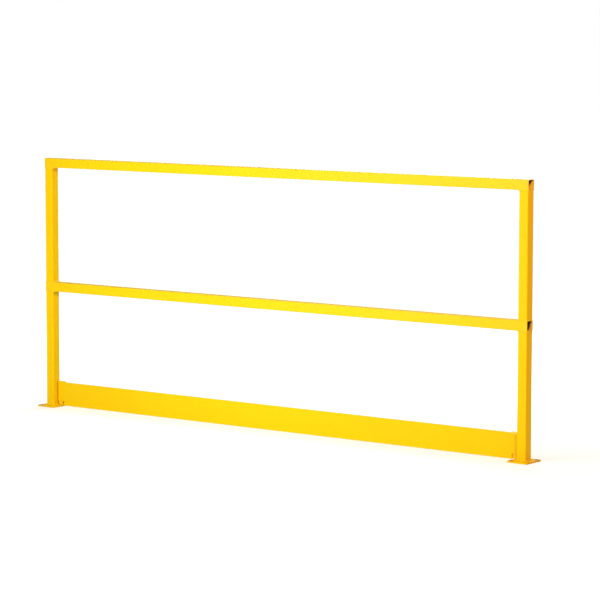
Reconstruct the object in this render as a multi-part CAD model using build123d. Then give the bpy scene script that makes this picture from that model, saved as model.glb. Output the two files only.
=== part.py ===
from build123d import *
from math import atan2, degrees
import os

# Industrial guard rail, a welded frame of square steel tube with a toe board.
# Millimetres. X runs along the rail, the front faces -Y, Z is up.
# The origin is on the floor, under the middle of the rail.

# Overall sizes
rail_length = 2438.4        # both rails, end to end
rail_height = 1066.8        # floor to the top of the top rail
mid_rail_height = 517.5     # floor to the middle of the mid rail

# Square tube, the same for the rails and the posts
tube_size = 40.0
tube_wall = 2.1
tube_corner = 3.2           # outside corner radius
rail_overhang = 0.8         # how far the rails run past the posts

# Base plates
plate_along = 88.9          # size along the rail
plate_across = 101.6        # size across the rail
plate_thickness = 6.35
plate_corner = 2.5          # corner radius seen from above
plate_edge = 0.6            # eased upper edge
anchor_hole = 11.1
anchor_inset = 12.7         # hole centre to each plate edge

# Toe board
board_height = 101.6
board_thickness = 3.2
board_floor_gap = 5.0       # floor to the board's lower edge
board_setback = 24.4        # post front face to board front face
board_end_gap = 5.0         # board end to post
sheet_edge = 0.5            # eased long edges of the board and the clips
notch_height = 20.0         # lower corners cut away over the base plates
notch_clearance = 12.7      # plate edge to the notch's upright edge

# Clips that carry the toe board, one on each post
clip_thickness = 4.8
clip_lap = 3.2              # how far a clip reaches past the notch
clip_rise = 3.0             # how far a clip stands above the board
clip_snipe_gap = 1.5        # clip's snipped lower corner to the weld at the post's foot

# Welds
foot_leg = 5.5              # post to base plate
joint_leg = 5.0             # post to rail
flush_crown = 0.8           # bead standing proud where tube faces are level
bead_toe = 0.3              # thickness where a bead runs out
bead_knee = (0.4, 0.72)     # shares of the leg, up the post and out from it, at a bead's fullest
bead_bulge = 0.6            # share of the legs that an upright bead's round face reaches
clip_leg = 4.0              # clip to post
clip_weld_inset = 6.0       # clip weld stops short of the clip's top and of the snipped corner
lap_leg = 2.6               # board's upper edge to clip
lap_inset = 2.0             # that bead stops short of the board's end
stitch_leg = 4.0            # back of the board to the clip's edge
stitch_length = 28.0

# Places worked out from the sizes above
half_tube = tube_size / 2
post_x = rail_length / 2 - rail_overhang - half_tube
inner_x = post_x - half_tube
top_rail_z = rail_height - half_tube
top_rail_under = rail_height - tube_size
mid_rail_under = mid_rail_height - half_tube
mid_rail_over = mid_rail_height + half_tube
board_front = -half_tube + board_setback
board_back = board_front + board_thickness
board_top = board_floor_gap + board_height
notch_top = board_floor_gap + notch_height
notch_x = post_x - plate_along / 2 - notch_clearance
board_end_x = inner_x - board_end_gap
clip_back = board_back + clip_thickness
clip_outer_x = notch_x - clip_lap
clip_snipe = foot_leg + clip_snipe_gap
clip_top = board_top + clip_rise

sides = {"left": -1, "right": 1}


def tube_outline(grow=0.0):
    # Rounded square of the tube, or one that stands out from it by grow
    return RectangleRounded(tube_size + 2 * grow, tube_size + 2 * grow, tube_corner + grow)


def tube_section():
    bore = tube_size - 2 * tube_wall
    return tube_outline() - RectangleRounded(bore, bore, tube_corner - tube_wall)


def make_rail(height):
    return Pos(0, 0, height) * extrude(Plane.YZ * tube_section(), rail_length / 2, both=True)


def make_post(side, low, high):
    return Pos(side * post_x, 0, low) * extrude(tube_section(), high - low)


def make_base_plate(side):
    plate = extrude(RectangleRounded(plate_along, plate_across, plate_corner), plate_thickness)
    plate = chamfer(plate.faces().sort_by(Axis.Z)[-1].edges(), plate_edge)
    along = plate_along - 2 * anchor_inset
    across = plate_across - 2 * anchor_inset
    hole = Cylinder(anchor_hole / 2, plate_thickness, align=(Align.CENTER, Align.CENTER, Align.MIN))
    plate -= GridLocations(along, across, 2, 2) * hole
    return Pos(side * post_x, 0, 0) * plate


def tapered(outer, inner, height):
    # Solid frustum of the tube's outline, growing by outer at its foot and by inner at its top
    return extrude(tube_outline(outer), height, taper=degrees(atan2(outer - inner, height)))


def make_collar(leg):
    # Fillet all round a post that stands on z = 0, with a slightly full face
    knee_height = bead_knee[0] * leg
    knee_width = bead_knee[1] * leg
    foot = tapered(leg, knee_width, knee_height)
    return foot + Pos(0, 0, knee_height) * tapered(knee_width, bead_toe, leg - knee_height)


def make_foot_weld(side):
    bead = make_collar(foot_leg) - extrude(tube_outline(), foot_leg)
    return Pos(side * post_x, 0, plate_thickness) * bead


def make_joint_weld(side, face_z, post_side):
    # Bead where a post meets a rail. The rail's face is at face_z and the post lies above it
    # (post_side 1) or below it (post_side -1). Along the rail the bead has full legs, cut off
    # at the rail's end. On the level faces it is a low crown, and it fills the groove that the
    # rail's rounded corner leaves under the post.
    groove = mirror(tapered(joint_leg, joint_leg - flush_crown, tube_corner), Plane.XY)
    reach_in = half_tube + joint_leg
    reach_out = half_tube + rail_overhang
    limits = Box(reach_in + reach_out, tube_size + 2 * flush_crown, 2 * (joint_leg + tube_corner))
    limits = Pos((reach_out - reach_in) / 2, 0, 0) * limits
    bead = (make_collar(joint_leg) + groove) & limits
    bead -= extrude(tube_outline(), joint_leg)
    rail = extrude(Plane.YZ * tube_outline(), tube_size, both=True)
    bead -= Pos(0, 0, -half_tube) * rail
    if post_side < 0:
        bead = mirror(bead, Plane.XY)
    if side < 0:
        bead = mirror(bead, Plane.YZ)
    return Pos(side * post_x, 0, face_z) * bead


def make_toe_board():
    board = Box(2 * board_end_x, board_thickness, board_height)
    board = fillet(board.edges().filter_by(Axis.X), sheet_edge)
    board = Pos(0, board_front + board_thickness / 2, board_floor_gap + board_height / 2) * board
    cut_length = board_end_x - notch_x
    for side in sides.values():
        cut = Box(cut_length, board_thickness, notch_height, align=(Align.MIN, Align.MIN, Align.MIN))
        cut_x = notch_x if side > 0 else -board_end_x
        board -= Pos(cut_x, board_front, board_floor_gap) * cut
    return board


def make_toe_clip(side):
    # Stands on the base plate, with the corner over the post's foot weld snipped off
    clip = Box(inner_x - clip_outer_x, clip_thickness, clip_top - plate_thickness)
    clip = fillet(clip.edges().filter_by(Axis.X), sheet_edge)
    middle_x = (inner_x + clip_outer_x) / 2
    middle_y = (board_back + clip_back) / 2
    clip = Pos(side * middle_x, middle_y, (clip_top + plate_thickness) / 2) * clip
    corner = Plane(origin=(side * inner_x, board_back, plate_thickness), x_dir=(-side, 0, 0), z_dir=(0, side, 0))
    snipe = make_face(Polyline((0, 0), (clip_snipe, 0), (0, clip_snipe), close=True))
    return clip - extrude(corner * snipe, clip_thickness * side)


def bead_section(leg_u, leg_v):
    # Fillet bead in a corner at the origin, legs along +u and +v, with a full face
    fullest = (bead_bulge * leg_u, bead_bulge * leg_v)
    round_face = ThreePointArc((leg_u, 0), fullest, (0, leg_v))
    return make_face([Line((0, 0), (leg_u, 0)), round_face, Line((0, leg_v), (0, 0))])


def make_clip_weld(side):
    # Upright bead behind the clip, in its corner with the post
    low = plate_thickness + clip_snipe + clip_weld_inset
    length = clip_top - clip_weld_inset - low
    bead = extrude(bead_section(clip_leg, clip_leg), length)
    if side > 0:
        bead = mirror(bead, Plane.YZ)
    return Pos(side * inner_x, clip_back, low) * bead


def make_lap_weld(side):
    # Bead on the board's upper edge, against the clip that stands above it
    length = board_end_x - lap_inset - clip_outer_x
    start = clip_outer_x if side > 0 else -(board_end_x - lap_inset)
    corner = Plane(origin=(start, board_back, board_top), x_dir=(0, -1, 0), z_dir=(-1, 0, 0))
    return extrude(corner * bead_section(board_thickness - sheet_edge, lap_leg), -length)


def make_stitch_weld(side):
    # Short upright bead between the clip's outer edge and the back of the board
    middle_z = (notch_top + board_top) / 2
    section = bead_section(stitch_leg, min(stitch_leg, clip_thickness))
    bead = extrude(section, stitch_length / 2, both=True)
    if side > 0:
        bead = mirror(bead, Plane.YZ)
    return Pos(side * clip_outer_x, board_back, middle_z) * bead


def build_nodes():
    nodes = {
        "top_rail": make_rail(top_rail_z),
        "mid_rail": make_rail(mid_rail_height),
        "toe_board": make_toe_board(),
    }
    for name, side in sides.items():
        nodes[name + "_base_plate"] = make_base_plate(side)
        nodes[name + "_lower_post"] = make_post(side, plate_thickness, mid_rail_under)
        nodes[name + "_upper_post"] = make_post(side, mid_rail_over, top_rail_under)
        nodes[name + "_toe_clip"] = make_toe_clip(side)
        nodes[name + "_foot_weld"] = make_foot_weld(side)
        nodes[name + "_mid_lower_weld"] = make_joint_weld(side, mid_rail_under, -1)
        nodes[name + "_mid_upper_weld"] = make_joint_weld(side, mid_rail_over, 1)
        nodes[name + "_top_weld"] = make_joint_weld(side, top_rail_under, -1)
        nodes[name + "_clip_weld"] = make_clip_weld(side)
        nodes[name + "_lap_weld"] = make_lap_weld(side)
        nodes[name + "_stitch_weld"] = make_stitch_weld(side)
    return nodes


os.makedirs("parts", exist_ok=True)
for node, shape in build_nodes().items():
    shape.label = node
    export_step(shape, "parts/" + node + ".step")
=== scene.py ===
import math

import bmesh
import bpy
from mathutils import Matrix, Vector


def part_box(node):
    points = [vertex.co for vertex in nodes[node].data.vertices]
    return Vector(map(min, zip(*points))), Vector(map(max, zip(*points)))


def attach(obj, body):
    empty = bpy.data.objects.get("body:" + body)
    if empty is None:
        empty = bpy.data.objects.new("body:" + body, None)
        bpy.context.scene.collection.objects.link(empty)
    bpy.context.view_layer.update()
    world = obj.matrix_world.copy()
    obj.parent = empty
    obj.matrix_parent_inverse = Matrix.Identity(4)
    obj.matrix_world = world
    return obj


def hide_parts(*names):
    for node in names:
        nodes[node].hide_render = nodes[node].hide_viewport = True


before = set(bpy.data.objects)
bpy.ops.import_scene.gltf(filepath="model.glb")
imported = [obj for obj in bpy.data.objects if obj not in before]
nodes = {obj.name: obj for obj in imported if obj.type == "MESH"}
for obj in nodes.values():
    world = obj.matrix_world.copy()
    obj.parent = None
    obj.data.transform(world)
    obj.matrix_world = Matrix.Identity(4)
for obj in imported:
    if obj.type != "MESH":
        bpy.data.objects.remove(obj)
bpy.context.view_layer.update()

print("frame loaded:", len(nodes), "nodes")


# Node helpers: feed sets or links a socket, the others add nodes and give back what comes out

def feed(tree, socket, value):
    if isinstance(value, bpy.types.NodeSocket):
        tree.links.new(value, socket)
    else:
        socket.default_value = value


def calc(tree, operation, first, second=0.0):
    node = tree.nodes.new("ShaderNodeMath")
    node.operation = operation
    feed(tree, node.inputs[0], first)
    feed(tree, node.inputs[1], second)
    return node.outputs[0]


def smoothStep(tree, value, low, high, start=0.0, end=1.0):
    # From start to end as the value goes from low to high, which may lie the other way round
    node = tree.nodes.new("ShaderNodeMapRange")
    node.interpolation_type = "SMOOTHSTEP"
    for socket, number in zip(node.inputs, (value, low, high, start, end)):
        feed(tree, socket, number)
    return node.outputs[0]


def mixNumber(tree, factor, first, second, kind="FLOAT"):
    node = tree.nodes.new("ShaderNodeMix")
    node.data_type = kind
    feed(tree, node.inputs["Factor"], factor)
    feed(tree, node.inputs["A"], first)
    feed(tree, node.inputs["B"], second)
    return node.outputs["Result"]


def mixColour(tree, factor, first, second):
    return mixNumber(tree, factor, first, second, kind="RGBA")


def noise(tree, place, scale, detail, roughness):
    node = tree.nodes.new("ShaderNodeTexNoise")
    feed(tree, node.inputs["Vector"], place)
    feed(tree, node.inputs["Scale"], scale)
    feed(tree, node.inputs["Detail"], detail)
    feed(tree, node.inputs["Roughness"], roughness)
    return node.outputs["Fac"]


def waver(tree, place, look):
    # Noise about zero that makes the edge of a patch ragged
    off = calc(tree, "SUBTRACT", noise(tree, place, *look["noise"]), 0.5)
    return calc(tree, "MULTIPLY", off, look["ragged"])


def axes(tree, place):
    node = tree.nodes.new("ShaderNodeSeparateXYZ")
    feed(tree, node.inputs[0], place)
    return node.outputs


def bump(tree, height, depth, normal):
    node = tree.nodes.new("ShaderNodeBump")
    feed(tree, node.inputs["Strength"], 1.0)
    feed(tree, node.inputs["Distance"], depth)
    feed(tree, node.inputs["Height"], height)
    feed(tree, node.inputs["Normal"], normal)
    return node.outputs["Normal"]


# Powder coat over steel

paintLook = {
    "yellow": (0.930, 0.620, 0.002, 1.0),
    "deepYellow": (0.920, 0.600, 0.002, 1.0),
    "thinFilm": (0.870, 0.500, 0.005, 1.0),     # over an edge, where the coat is thinnest
    "cornerShade": (0.560, 0.290, 0.003, 1.0),       # painted shade in tight corners, from ambient occlusion
    # Scale, detail and roughness of each noise
    "cloud": (3.0, 2.0, 0.5),                   # slow drift of tone along the rail
    "mottle": (60.0, 3.0, 0.6),                 # uneven powder, about 15 mm across
    "peel": (330.0, 1.5, 0.4),                  # orange peel, about 3 mm
    "grain": (1500.0, 2.0, 0.5),
    "peelDepth": 0.000022,
    "grainDepth": 0.000004,
    "cloudShare": 0.6,                          # of the tone; mottle has the rest
    "toneSpan": (0.40, 0.62),                   # from yellow to deep yellow
    "edgeRadius": 0.0008,
    "edgeSpan": (0.985, 0.80),                  # cosine of an edge's turn, from full film to thin
    "wornSpan": (0.35, 0.65),                   # of the mottle, from edges left alone to thin ones
    "cornerShadeReach": 0.010,
    "cornerShadeSpan": (0.76, 0.24),                 # from open to full painted shade
    "bevelSamples": 4,
    "cornerShadeSamples": 8,
    "roughness": 0.42,
    "roughnessSpread": 0.10,
    "dustAndShadeRoughness": 0.8,                       # of whatever lies on the coat or is painted shade on it
    "gloss": 0.12,
    "coatWeight": 0.0,
    "coatRoughness": 0.03,
}

steelLook = {
    "scale": (0.120, 0.068, 0.020, 1.0),        # dark mill scale inside the tube, its darkness there partly painted shade
    "rust": (0.190, 0.095, 0.020, 1.0),
    "rustNoise": (120.0, 5.0, 0.65),
    "rustSpan": (0.42, 0.66),
    "roughness": 0.62,
    "metal": 0.35,
}


def powderCoat(name, bareMask=None, dustAndShade=None, look=paintLook):
    # bareMask says where the steel is bare; the other mask where dust lies on the coat or shade is
    # painted on it, and its colour
    material = bpy.data.materials.new(name)
    material.use_nodes = True
    tree = material.node_tree
    shader = tree.nodes["Principled BSDF"]
    place = tree.nodes.new("ShaderNodeTexCoord").outputs["Object"]

    cloud = noise(tree, place, *look["cloud"])
    mottle = noise(tree, place, *look["mottle"])
    tone = calc(tree, "ADD", calc(tree, "MULTIPLY", cloud, look["cloudShare"]),
                calc(tree, "MULTIPLY", mottle, 1 - look["cloudShare"]))
    deep = smoothStep(tree, tone, *look["toneSpan"])
    colour = mixColour(tree, deep, look["yellow"], look["deepYellow"])

    bevel = tree.nodes.new("ShaderNodeBevel")
    bevel.samples = look["bevelSamples"]
    feed(tree, bevel.inputs["Radius"], look["edgeRadius"])
    facing = tree.nodes.new("ShaderNodeVectorMath")
    facing.operation = "DOT_PRODUCT"
    feed(tree, facing.inputs[0], bevel.outputs["Normal"])
    feed(tree, facing.inputs[1], tree.nodes.new("ShaderNodeNewGeometry").outputs["Normal"])
    edge = smoothStep(tree, facing.outputs["Value"], *look["edgeSpan"])
    thin = calc(tree, "MULTIPLY", edge, smoothStep(tree, mottle, *look["wornSpan"]))
    colour = mixColour(tree, thin, colour, look["thinFilm"])
    # Painted shade: ambient occlusion darkens the coat in corners and under parts
    cornerOcclusion = tree.nodes.new("ShaderNodeAmbientOcclusion")
    cornerOcclusion.samples = look["cornerShadeSamples"]
    feed(tree, cornerOcclusion.inputs["Distance"], look["cornerShadeReach"])
    cornerShadeMask = smoothStep(tree, cornerOcclusion.outputs["AO"], *look["cornerShadeSpan"])
    colour = mixColour(tree, cornerShadeMask, colour, look["cornerShade"])

    peel = noise(tree, place, *look["peel"])
    grain = noise(tree, place, *look["grain"])
    roughness = mixNumber(tree, mottle, look["roughness"] - look["roughnessSpread"] / 2,
                          look["roughness"] + look["roughnessSpread"] / 2)
    if dustAndShade:
        cover, dustAndShadeColour = dustAndShade(tree, place)
        colour = mixColour(tree, cover, colour, dustAndShadeColour)
        roughness = mixNumber(tree, cover, roughness, look["dustAndShadeRoughness"])
    if bareMask:
        bare = bareMask(tree, place)
        rusty = smoothStep(tree, noise(tree, place, *steelLook["rustNoise"]), *steelLook["rustSpan"])
        steel = mixColour(tree, rusty, steelLook["scale"], steelLook["rust"])
        colour = mixColour(tree, bare, colour, steel)
        roughness = mixNumber(tree, bare, roughness, steelLook["roughness"])
        feed(tree, shader.inputs["Metallic"], calc(tree, "MULTIPLY", bare, steelLook["metal"]))

    normal = bump(tree, peel, look["peelDepth"], bevel.outputs["Normal"])
    normal = bump(tree, grain, look["grainDepth"], normal)

    feed(tree, shader.inputs["Base Color"], colour)
    feed(tree, shader.inputs["Roughness"], roughness)
    feed(tree, shader.inputs["Normal"], normal)
    feed(tree, shader.inputs["Specular IOR Level"], look["gloss"])
    feed(tree, shader.inputs["Coat Weight"], look["coatWeight"])
    feed(tree, shader.inputs["Coat Roughness"], look["coatRoughness"])
    return material


# Pale overspray reaches a little way into the open rail ends, and least far under the top wall,
# where that lean is a painted shadow of the top wall. Deeper in, the bore's dark bare steel is
# partly painted shade.

boreLook = {
    "halfBore": 0.01794,                        # just over half of the clear 35.8 mm
    "overspray": (0.950, 0.780, 0.120, 1.0),
    # Depth where the overspray starts to thin and where it ends, and how it leans with the height as
    # a painted shadow of the top wall
    "top_rail": {"paintedTo": 0.018, "bareFrom": 0.028, "shadowLean": 0.8},
    "mid_rail": {"paintedTo": 0.010, "bareFrom": 0.021, "shadowLean": 0.35},
    "ragged": 0.010,
    "noise": (110.0, 3.0, 0.5),
}

# Painted shade darkens the upper face of the mid rail, which is also rougher and duller there. The
# top rail's upper face is left clear.

topShadeLook = {
    "colour": (0.780, 0.585, 0.060, 1.0),
    "skin": 0.0010,                             # depth below the face over which the painted shade fades out
    "noise": (45.0, 4.0, 0.6),
    "span": (0.30, 0.60),                       # of the noise, from least to most
    "top_rail": (0.0, 0.0),                     # least and most cover
    "mid_rail": (0.65, 0.95),
}


def railCoat(name):
    low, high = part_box(name)
    middle = (low + high) / 2
    reach = boreLook[name]

    def inBore(tree, at, up):
        widest = calc(tree, "MAXIMUM", calc(tree, "ABSOLUTE", at["Y"]), calc(tree, "ABSOLUTE", up))
        return calc(tree, "LESS_THAN", widest, boreLook["halfBore"])

    # Overspray inside the bore, and painted shade on the mid rail's upper face
    def oversprayAndTopShade(tree, place):
        at = axes(tree, place)
        inside = inBore(tree, at, calc(tree, "SUBTRACT", at["Z"], middle.z))
        onTop = smoothStep(tree, at["Z"], high.z - topShadeLook["skin"], high.z)
        topShade = smoothStep(tree, noise(tree, place, *topShadeLook["noise"]),
                             *topShadeLook["span"], *topShadeLook[name])
        cover = calc(tree, "MAXIMUM", inside, calc(tree, "MULTIPLY", onTop, topShade))
        return cover, mixColour(tree, inside, topShadeLook["colour"], boreLook["overspray"])

    # Bare dark steel deep in the bore, partly painted shade, reaching out further near the top as a
    # painted shadow of the top wall
    def bareSteelAndTopShadow(tree, place):
        at = axes(tree, place)
        up = calc(tree, "SUBTRACT", at["Z"], middle.z)
        depth = calc(tree, "SUBTRACT", high.x, calc(tree, "ABSOLUTE", at["X"]))
        withTopShadow = calc(tree, "ADD", depth, calc(tree, "MULTIPLY", up, reach["shadowLean"]))
        ragged = calc(tree, "MULTIPLY", noise(tree, place, *boreLook["noise"]), boreLook["ragged"])
        inwards = calc(tree, "ADD", withTopShadow, ragged)
        deep = smoothStep(tree, inwards, reach["paintedTo"], reach["bareFrom"])
        return calc(tree, "MULTIPLY", inBore(tree, at, up), deep)

    return powderCoat(name + "PowderCoat", bareMask=bareSteelAndTopShadow, dustAndShade=oversprayAndTopShade)


# The underside of a base plate has rubbed on the floor

scuffLook = {"below": 0.0004, "noise": (90.0, 6.0, 0.7), "span": (0.55, 0.68)}


def scuffMask(tree, place):
    under = calc(tree, "LESS_THAN", axes(tree, place)["Z"], scuffLook["below"])
    rubbed = smoothStep(tree, noise(tree, place, *scuffLook["noise"]), *scuffLook["span"])
    return calc(tree, "MULTIPLY", under, rubbed)


# Painted shade lies on a base plate in two opposite corners, browner in the one by the toe board

plateShadeLook = {
    "outer": (0.400, 0.320, 0.190, 1.0),
    "inner": (0.430, 0.270, 0.040, 1.0),
    "above": 0.0055,                            # height from which a plate counts as its top
    "span": (0.46, 0.80),                       # from unshaded to shaded, from the middle to the corner
    "most": 0.92,
    "ragged": 0.20,
    "noise": (140.0, 5.0, 0.65),
}


def plateCornerShade(tree, place):
    low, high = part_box("right_base_plate")
    middle, half = (low + high) / 2, (high - low) / 2
    at = axes(tree, place)
    side = calc(tree, "SIGN", at["X"])
    along = calc(tree, "SUBTRACT", at["X"], calc(tree, "MULTIPLY", side, middle.x))
    diagonal = calc(tree, "ADD", calc(tree, "MULTIPLY", along, 0.5 / half.x),
                    calc(tree, "MULTIPLY", at["Y"], 0.5 / half.y))
    corner = calc(tree, "ADD", calc(tree, "ABSOLUTE", diagonal), waver(tree, place, plateShadeLook))
    spread = smoothStep(tree, corner, *plateShadeLook["span"], 0.0, plateShadeLook["most"])
    onTop = calc(tree, "GREATER_THAN", at["Z"], plateShadeLook["above"])
    atOuter = calc(tree, "GREATER_THAN", calc(tree, "MULTIPLY", along, side), 0.0)
    return (calc(tree, "MULTIPLY", onTop, spread),
            mixColour(tree, atOuter, plateShadeLook["inner"], plateShadeLook["outer"]))


# Painted shadow of the right post on the toe board's end

postShadowLook = {
    "colour": (0.760, 0.500, 0.005, 1.0),
    "span": (0.0235, 0.0165),                   # from the board's end, from no painted shadow to full
    "ragged": 0.003,
    "noise": (90.0, 3.0, 0.5),
}


def postShadowOnBoard(tree, place):
    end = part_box("toe_board")[1].x
    fromEnd = calc(tree, "SUBTRACT", end, axes(tree, place)["X"])
    edge = calc(tree, "ADD", fromEnd, waver(tree, place, postShadowLook))
    return smoothStep(tree, edge, *postShadowLook["span"]), postShadowLook["colour"]


# Painted shade on the clips in the toe board's notches, by the board's cut edge and the post, and
# painted shadow of the right post beside it

notchShadeLook = {
    "colour": (0.300, 0.150, 0.006, 1.0),
    "leftReach": 0.0127,                        # from the clip's outer edge past the board's cut one
    "rightReach": 0.0040,
    "low": 0.0115,                              # heights beside the cut edge
    "high": 0.0215,
    "postReach": 0.0035,
    "postTop": (0.027, 0.025),                  # heights where it ends beside the post
    "soft": 0.0012,
    "noise": (260.0, 4.0, 0.6),
    "span": (0.20, 0.50),
    "postShadowSpan": (0.0290, 0.0220),             # painted shadow of the right post
    "postShadowCover": 0.20,
}


def clipShade(tree, place):
    low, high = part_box("right_toe_clip")
    at = axes(tree, place)
    look, soft = notchShadeLook, notchShadeLook["soft"]
    fromPost = calc(tree, "SUBTRACT", high.x, calc(tree, "ABSOLUTE", at["X"]))
    fromOuter = calc(tree, "SUBTRACT", high.x - low.x, fromPost)
    onRight = calc(tree, "GREATER_THAN", at["X"], 0.0)
    reach = mixNumber(tree, onRight, look["leftReach"], look["rightReach"])
    beside = smoothStep(tree, calc(tree, "SUBTRACT", fromOuter, reach), soft, 0.0)
    above = smoothStep(tree, at["Z"], look["low"] - soft, look["low"] + soft)
    below = smoothStep(tree, at["Z"], look["high"] + soft, look["high"] - soft)
    atNotch = calc(tree, "MULTIPLY", beside, calc(tree, "MULTIPLY", above, below))
    byPost = smoothStep(tree, fromPost, look["postReach"] + soft, look["postReach"] - soft)
    atPost = calc(tree, "MULTIPLY", byPost, smoothStep(tree, at["Z"], *look["postTop"]))
    patchy = smoothStep(tree, noise(tree, place, *look["noise"]), *look["span"])
    clipShadeMask = calc(tree, "MULTIPLY", calc(tree, "MAXIMUM", atNotch, atPost), patchy)
    postShadow = smoothStep(tree, fromPost, *look["postShadowSpan"], 0.0, look["postShadowCover"])
    return calc(tree, "MAXIMUM", clipShadeMask, calc(tree, "MULTIPLY", onRight, postShadow)), look["colour"]


# Painted shadow of the rail above, on a post's inner face

railShadowLook = {
    "colour": (0.700, 0.415, 0.004, 1.0),
    "reach": 0.026,                             # below the rail, half way across the post
    "shadowLean": 0.45,                               # further down towards the back
    "full": 0.35,                               # share of the reach where the painted shadow is darkest
    "skin": 0.0005,
}


def railShadowOnPost(tree, place):
    low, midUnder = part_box("right_lower_post")
    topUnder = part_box("right_upper_post")[1]
    at = axes(tree, place)
    onInner = calc(tree, "LESS_THAN", calc(tree, "ABSOLUTE", at["X"]), low.x + railShadowLook["skin"])
    upperPost = calc(tree, "GREATER_THAN", at["Z"], midUnder.z)
    railUnder = mixNumber(tree, upperPost, midUnder.z, topUnder.z)
    reach = calc(tree, "ADD", calc(tree, "MULTIPLY", at["Y"], railShadowLook["shadowLean"]), railShadowLook["reach"])
    share = calc(tree, "DIVIDE", calc(tree, "SUBTRACT", railUnder, at["Z"]), reach)
    railShadow = smoothStep(tree, share, 1.0, railShadowLook["full"])
    return calc(tree, "MULTIPLY", onInner, railShadow), railShadowLook["colour"]


postPaint = powderCoat("postPowderCoat", dustAndShade=railShadowOnPost, look={**paintLook, "gloss": 0.05})
boardPaint = powderCoat("boardPowderCoat", dustAndShade=postShadowOnBoard, look={**paintLook, "gloss": 0.07})
clipPaint = powderCoat("clipPowderCoat", dustAndShade=clipShade)
weldPaint = powderCoat("weldPowderCoat", look={**paintLook, "roughness": 0.40, "peelDepth": 0.00003})
thickPaint = powderCoat("thickPowderCoat",
                        look={**paintLook, "coatWeight": 1.0, "coatRoughness": 0.16})
platePaint = powderCoat("platePowderCoat", bareMask=scuffMask, dustAndShade=plateCornerShade,
                        look={**paintLook, "gloss": 0.03, "roughness": 0.50})

# By the last words of a node's name
nodePaint = {
    "post": postPaint,
    "toe_board": boardPaint,
    "clip": clipPaint,
    "weld": weldPaint,
    "base_plate": platePaint,
    "top_rail": railCoat("top_rail"),
    "mid_rail": railCoat("mid_rail"),
}

for name, obj in nodes.items():
    paint = next(paint for words, paint in nodePaint.items() if name.endswith(words))
    for slotted in obj.material_slots:
        slotted.material = paint
print("paint on", len(nodes), "nodes")


# Weld beads

beadLook = {
    "step": 0.00026,            # mesh spacing along a bead
    "around": 16,               # faces round its section, three quarters of them on the outside
    "outsideShare": 0.75,
    "slack": 0.000001,          # for rounding, in shares of the section and metres between doubles
    "sharpAngle": 50,
    "waves": ((0.035, 2, 1.0), (0.030, 5, 2.3), (0.020, 13, 3.1)),  # size, number, shift by seed
    "pitch": 0.0016,            # between two ripples
    "pitchDrift": 0.3,          # of a ripple, in a bead round a post
    "driftWaves": 3,
    "ripple": 0.00016,
    "rippleShape": 0.8,         # under 1 rounds the tops and narrows the valleys
    "rippleFade": 0.6,          # how it dies out towards the toes
    "rippleBow": 0.55,          # how far a ripple trails at the bead's toes, in pitches
    "bulge": 0.09,              # full face, as a share of the width
    "sunk": 0.0003,             # hidden root, into the steel
    "restart": 0.12,            # extra size where the welder stopped and began again
    "restartLength": 0.003,
}


def startBead(length):
    # Flat sheet, one unit long and wide, that the callers wrap into a bead
    bead = bmesh.new()
    steps = round(length / beadLook["step"])
    bmesh.ops.create_grid(bead, x_segments=steps, y_segments=beadLook["around"], size=0.5)
    return bead


def wobble(share, seed):
    # Size of a bead at that share of its length, about 1
    turn = 2 * math.pi * share
    size = 1
    for height, count, shift in beadLook["waves"]:
        size += height * math.sin(count * turn + shift * seed)
    return size


def restartSize(share, around):
    # Where a bead round a post closes on its own start
    apart = min(share, 1 - share) * around / beadLook["restartLength"]
    return 1 + beadLook["restart"] * math.exp(-(apart ** 2))


def driftingPhase(share, ripples, seed):
    # In ripples from the start
    turn = beadLook["driftWaves"] * 2 * math.pi * share
    return share * ripples + beadLook["pitchDrift"] * math.sin(turn + seed)


def sectionPoint(across, upper, lower, root, outward, bulge, phase, rippleSize=1.0, squareness=1.0):
    # across runs 0 to 1 round the section: down the outside from upper to lower, back by the root
    share = across / beadLook["outsideShare"]
    if share <= 1 + beadLook["slack"]:
        fullness = max(math.sin(math.pi * min(share, 1.0)), 0.0)
        off = 2 * share - 1
        hump = abs(math.sin(math.pi * (phase + beadLook["rippleBow"] * off * off)))
        ripple = rippleSize * beadLook["ripple"] * hump ** beadLook["rippleShape"]
        rise = bulge * fullness ** squareness + ripple * fullness ** beadLook["rippleFade"]
        return upper.lerp(lower, share) + outward * rise
    back = (across - beadLook["outsideShare"]) / (1 - beadLook["outsideShare"])
    return lower.lerp(root, 2 * back) if back < 0.5 else root.lerp(upper, 2 * back - 1)


def finishBead(bead, node, paint=weldPaint):
    bmesh.ops.remove_doubles(bead, verts=bead.verts, dist=beadLook["slack"])
    bmesh.ops.recalc_face_normals(bead, faces=bead.faces)
    mesh = bpy.data.meshes.new(node + "_bead")
    bead.to_mesh(mesh)
    bead.free()
    mesh.polygons.foreach_set("use_smooth", [True] * len(mesh.polygons))
    mesh.set_sharp_from_angle(angle=math.radians(beadLook["sharpAngle"]))
    obj = bpy.data.objects.new(node + "_bead", mesh)
    bpy.context.scene.collection.objects.link(obj)
    mesh.materials.append(paint)
    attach(obj, "root")
    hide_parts(node)


def roundSquare(distance, half, corner):
    # Point and outward direction on a tube's outline, that far round it
    straight = 2 * (half - corner)
    arc = math.pi / 2 * corner
    quarter, along = divmod(distance, straight + arc)
    angle = max(0.0, along - straight) / corner
    outward = Vector((math.cos(angle), math.sin(angle), 0))
    point = Vector((half - corner, min(along, straight) - straight / 2, 0)) + outward * corner
    turned = Matrix.Rotation(quarter * math.pi / 2, 3, "Z")
    return turned @ point, turned @ outward


def outlineLength(half, corner):
    return 8 * (half - corner) + 2 * math.pi * corner


# Round a post's foot, on the base plate

footWeld = {
    "leg": 0.0055,
    "corner": 0.0032,           # of the tube
    "faceWidth": 1.4,           # in legs
}


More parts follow.
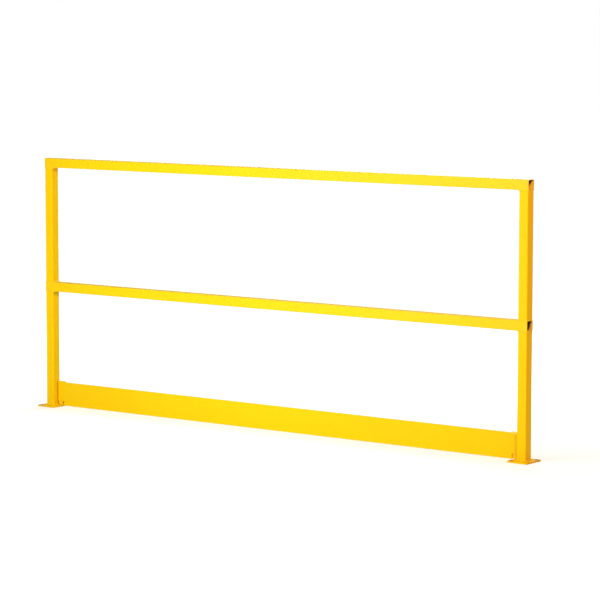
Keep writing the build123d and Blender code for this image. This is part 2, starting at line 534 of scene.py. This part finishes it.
def makeFootBead(side, seed):
    low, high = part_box(side + "_lower_post")
    half = (high.y - low.y) / 2
    corner = footWeld["corner"]
    around = outlineLength(half, corner)
    ripples = round(around / beadLook["pitch"])
    middle = Vector(((low.x + high.x) / 2, 0, low.z))
    up = Vector((0, 0, 1))
    bead = startBead(around)
    for vert in bead.verts:
        share, across = vert.co.x + 0.5, vert.co.y + 0.5
        point, outward = roundSquare(share * around, half, corner)
        leg = footWeld["leg"] * wobble(share, seed) * restartSize(share, around)
        upper = point + Vector((0, 0, leg * wobble(share, seed + 2)))
        lower = point + outward * leg
        root = point - (outward + up) * beadLook["sunk"]
        normal = (outward + up).normalized()
        bulge = beadLook["bulge"] * leg * footWeld["faceWidth"]
        phase = driftingPhase(share, ripples, seed)
        vert.co = middle + sectionPoint(across, upper, lower, root, normal, bulge, phase)
    finishBead(bead, side + "_foot_weld")


# Round a post's end, on a rail

jointWeld = {
    "corner": 0.0032,           # of the tube
    "leg": 0.0050,              # on the side that faces along the rail
    "outerShare": 0.55,         # of the rail's short overhang
    "outerBulge": 0.4,          # of the usual full face
    "levelUp": 0.0030,          # up the post, where the faces are level
    "levelDown": 0.0008,        # past the rail's rounded corner
    "levelCrown": 0.0007,
    "levelRoot": 0.5,           # depth of the root there, in corner radii
}

# Post, rail, whether the post stands on the rail (1) or ends under it (-1), and a step of the seed
jointWelds = {
    "mid_lower_weld": ("lower_post", "mid_rail", -1, 0.4),
    "mid_upper_weld": ("upper_post", "mid_rail", 1, 0.8),
    "top_weld": ("upper_post", "top_rail", -1, 1.2),
}


def makeJointBead(node, post, rail, postSide, seed):
    # Worked out for a post that stands on the rail, with the rail's end towards +X, then mirrored
    low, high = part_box(post)
    railLow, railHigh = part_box(rail)
    faceHeight = railHigh.z if postSide > 0 else railLow.z
    overhang = railHigh.x - max(abs(low.x), abs(high.x))
    half = (high.y - low.y) / 2
    corner = jointWeld["corner"]
    around = outlineLength(half, corner)
    ripples = round(around / beadLook["pitch"])
    side = 1 if low.x > 0 else -1
    up = Vector((0, 0, 1))
    bead = startBead(around)
    for vert in bead.verts:
        share, across = vert.co.x + 0.5, vert.co.y + 0.5
        point, outward = roundSquare(share * around, half, corner)
        level = outward.y ** 2      # 1 on the faces that are level with the rail's
        size = wobble(share, seed) * restartSize(share, around)
        outer = outward.x > 0
        leg = jointWeld["outerShare"] * overhang if outer else jointWeld["leg"] * size
        rise = jointWeld["levelUp"] * size
        if not outer:
            rise = leg * (1 - level) + rise * level
        upper = point + up * rise
        drop = math.atan2(abs(outward.y), abs(outward.x))
        lower = Vector((point.x + leg * outward.x * (1 - level),
                        point.y,
                        -corner * (1 - math.cos(drop)) - jointWeld["levelDown"] * size * level))
        chord = lower - upper
        normal = up.cross(outward).cross(chord).normalized()
        if normal.dot(outward) < 0:
            normal = -normal
        fullness = beadLook["bulge"] * (jointWeld["outerBulge"] if outer else 1.0)
        bulge = fullness * chord.length * (1 - level) + jointWeld["levelCrown"] * size * level
        inward = jointWeld["levelRoot"] * corner * level + beadLook["sunk"]
        root = point - outward * inward - up * inward
        phase = driftingPhase(share, ripples, seed)
        vert.co = sectionPoint(across, upper, lower, root, normal, bulge, phase)
    bmesh.ops.scale(bead, vec=(side, 1, postSide), verts=bead.verts)
    bmesh.ops.translate(bead, vec=((low.x + high.x) / 2, 0, faceHeight), verts=bead.verts)
    finishBead(bead, node)


# Straight beads: clip to post, toe board to clip, and the stitch behind the board

straightWeld = {
    "cap": 0.0035,              # rounded end
    "clipSeed": 0.2,            # steps of the seed
    "lapSeed": 0.6,
    "stitchSeed": 1.0,
}

# The right lap bead has washed over the board's front edge, where the paint lies thick
lapWeld = {
    "left": {"washDown": 0.0, "fullness": beadLook["bulge"], "squareness": 1.0, "paint": weldPaint},
    "right": {"washDown": 0.0050, "fullness": 0.26, "squareness": 0.45, "paint": thickPaint},
}


def makeStraightBead(node, start, end, upperLeg, lowerLeg, seed,
                     fullness=beadLook["bulge"], squareness=1.0, paint=weldPaint):
    # In the corner between two faces, from start to end, with the legs as vectors along the faces
    length = (end - start).length
    ripples = length / beadLook["pitch"]
    bead = startBead(length)
    normal = (upperLeg.normalized() + lowerLeg.normalized()).normalized()
    for vert in bead.verts:
        share, across = vert.co.x + 0.5, vert.co.y + 0.5
        near = min(share, 1 - share) * length / straightWeld["cap"]
        cap = math.sqrt(max(0.0, 1 - (1 - min(near, 1.0)) ** 2))
        size = cap * wobble(share, seed)
        corner = start.lerp(end, share)
        upper = corner + upperLeg * size
        lower = corner + lowerLeg * size * wobble(share, seed + 1)
        root = corner - normal * beadLook["sunk"] * cap
        bulge = fullness * (lower - upper).length
        vert.co = sectionPoint(across, upper, lower, root, normal, bulge, share * ripples,
                               cap, squareness)
    finishBead(bead, node, paint)


def makeUprightBead(node, sign, seed):
    # In the corner that the weld's box has away from the rail's middle
    low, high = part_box(node)
    corner = high.x if sign > 0 else low.x
    makeStraightBead(node, Vector((corner, low.y, low.z)), Vector((corner, low.y, high.z)),
                     Vector((0, high.y - low.y, 0)), Vector((-sign * (high.x - low.x), 0, 0)), seed)


def makeLapBead(side, seed):
    # Along the board's upper edge, against the clip
    node = side + "_lap_weld"
    low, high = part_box(node)
    look = lapWeld[side]
    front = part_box("toe_board")[0].y if look["washDown"] else low.y
    makeStraightBead(node, Vector((low.x, high.y, low.z)), Vector((high.x, high.y, low.z)),
                     Vector((0, 0, high.z - low.z)), Vector((0, front - high.y, -look["washDown"])),
                     seed, look["fullness"], look["squareness"], look["paint"])


# Sign of X, and the seed of the beads' unevenness
sides = {"left": (-1, 1.7), "right": (1, 3.4)}

for side, (sign, seed) in sides.items():
    makeFootBead(side, seed)
    for weld, (post, rail, postSide, seedStep) in jointWelds.items():
        makeJointBead(side + "_" + weld, side + "_" + post, rail, postSide, seed + seedStep)
    makeUprightBead(side + "_clip_weld", sign, seed + straightWeld["clipSeed"])
    makeLapBead(side, seed + straightWeld["lapSeed"])
    makeUprightBead(side + "_stitch_weld", sign, seed + straightWeld["stitchSeed"])
print("weld beads made")


# Studio

floorLook = {
    "size": 60.0,
    "colour": (0.82, 0.82, 0.82, 1.0),
    "roughness": 0.9,
    "gloss": 0.0,
    "glow": (1.0, 1.0, 1.0, 1.0),
    "glowNear": 0.40,           # by the rail
    "glowFar": 0.84,
    "railHalf": 1.0,            # half of the line that the distance is measured from
    "near": 0.35,
    "far": 1.8,
}
worldLook = {"colour": (1.0, 1.0, 1.0, 1.0), "fill": 0.32, "seen": 1.0}
softboxes = {
    "key": {"place": (-0.15, -1.90, 1.08), "aim": (0.2, 0.0, 0.88), "size": (2.0, 1.6),
            "power": 39.8, "colour": (1.0, 1.0, 1.0)},
    "sideFill": {"place": (2.30, -1.30, 1.60), "aim": (0.9, 0.0, 1.15), "size": (0.9, 0.9),
                 "power": 27.5, "colour": (1.0, 0.45, 0.15)},
    "backFill": {"place": (-0.9, 3.0, 2.2), "aim": (0.0, 0.0, 0.6), "size": (2.4, 1.6),
                 "power": 54.0, "colour": (1.0, 1.0, 1.0)},
    "overhead": {"place": (0.0, 0.6, 3.4), "aim": (0.0, 0.1, 0.0), "size": (3.2, 1.6),
                 "power": 10.0, "colour": (1.0, 1.0, 1.0)},
}


def cameraShare(tree):
    # 1 for rays that see the background itself: straight on, in gloss or through glass
    path = tree.nodes.new("ShaderNodeLightPath")
    seen = calc(tree, "MAXIMUM", path.outputs["Is Camera Ray"], path.outputs["Is Glossy Ray"])
    return calc(tree, "MAXIMUM", seen, path.outputs["Is Transmission Ray"])


def makeFloor():
    material = bpy.data.materials.new("paleFloor")
    material.use_nodes = True
    tree = material.node_tree
    shader = tree.nodes["Principled BSDF"]
    feed(tree, shader.inputs["Base Color"], floorLook["colour"])
    feed(tree, shader.inputs["Roughness"], floorLook["roughness"])
    feed(tree, shader.inputs["Specular IOR Level"], floorLook["gloss"])
    feed(tree, shader.inputs["Emission Color"], floorLook["glow"])
    # The floor glows a little, most away from the rail, and stays white where no lamp reaches
    at = axes(tree, tree.nodes.new("ShaderNodeTexCoord").outputs["Object"])
    beyond = calc(tree, "SUBTRACT", calc(tree, "ABSOLUTE", at["X"]), floorLook["railHalf"])
    beyond = calc(tree, "MAXIMUM", beyond, 0.0)
    away = calc(tree, "SQRT", calc(tree, "ADD", calc(tree, "MULTIPLY", beyond, beyond),
                                   calc(tree, "MULTIPLY", at["Y"], at["Y"])))
    glow = smoothStep(tree, away, floorLook["near"], floorLook["far"],
                      floorLook["glowNear"], floorLook["glowFar"])
    feed(tree, shader.inputs["Emission Strength"], calc(tree, "MULTIPLY", cameraShare(tree), glow))
    sheet = bmesh.new()
    bmesh.ops.create_grid(sheet, x_segments=1, y_segments=1, size=floorLook["size"] / 2)
    mesh = bpy.data.meshes.new("floor")
    sheet.to_mesh(mesh)
    sheet.free()
    floor = bpy.data.objects.new("floor", mesh)
    bpy.context.scene.collection.objects.link(floor)
    mesh.materials.append(material)


def makeWorld():
    world = bpy.data.worlds.new("studio")
    bpy.context.scene.world = world
    world.use_nodes = True
    tree = world.node_tree
    background = tree.nodes["Background"]
    feed(tree, background.inputs["Color"], worldLook["colour"])
    strength = mixNumber(tree, cameraShare(tree), worldLook["fill"], worldLook["seen"])
    feed(tree, background.inputs["Strength"], strength)


def makeSoftbox(name, look):
    light = bpy.data.lights.new(name, "AREA")
    light.shape = "RECTANGLE"
    light.size, light.size_y = look["size"]
    light.energy = look["power"]
    light.color = look["colour"]
    lamp = bpy.data.objects.new(name, light)
    lamp.location = look["place"]
    towards = Vector(look["aim"]) - Vector(look["place"])
    lamp.rotation_euler = towards.to_track_quat("-Z", "Y").to_euler()
    lamp.visible_camera = False
    bpy.context.scene.collection.objects.link(lamp)


makeFloor()
makeWorld()
for name, look in softboxes.items():
    makeSoftbox(name, look)
print("studio made")


# The photograph's viewpoint, in metres and degrees

cameraLook = {
    "place": (6.6453, -8.5370, 1.6829),
    "yaw": 37.3266,
    "pitch": 6.0516,            # downwards
    "roll": 0.072,
    "lens": 162.42,             # mm, as is the sensor
    "sensor": 36.0,
    "seesTo": 200.0,
}


def makeCamera():
    data = bpy.data.cameras.new("camera")
    data.lens = cameraLook["lens"]
    data.sensor_width = cameraLook["sensor"]
    data.clip_end = cameraLook["seesTo"]
    camera = bpy.data.objects.new("camera", data)
    turn = (Matrix.Rotation(math.radians(cameraLook["yaw"]), 4, "Z")
            @ Matrix.Rotation(math.radians(90 - cameraLook["pitch"]), 4, "X")
            @ Matrix.Rotation(math.radians(cameraLook["roll"]), 4, "Z"))
    camera.matrix_world = Matrix.Translation(cameraLook["place"]) @ turn
    bpy.context.scene.collection.objects.link(camera)
    bpy.context.scene.camera = camera


makeCamera()
bpy.context.scene.view_settings.view_transform = "Standard"
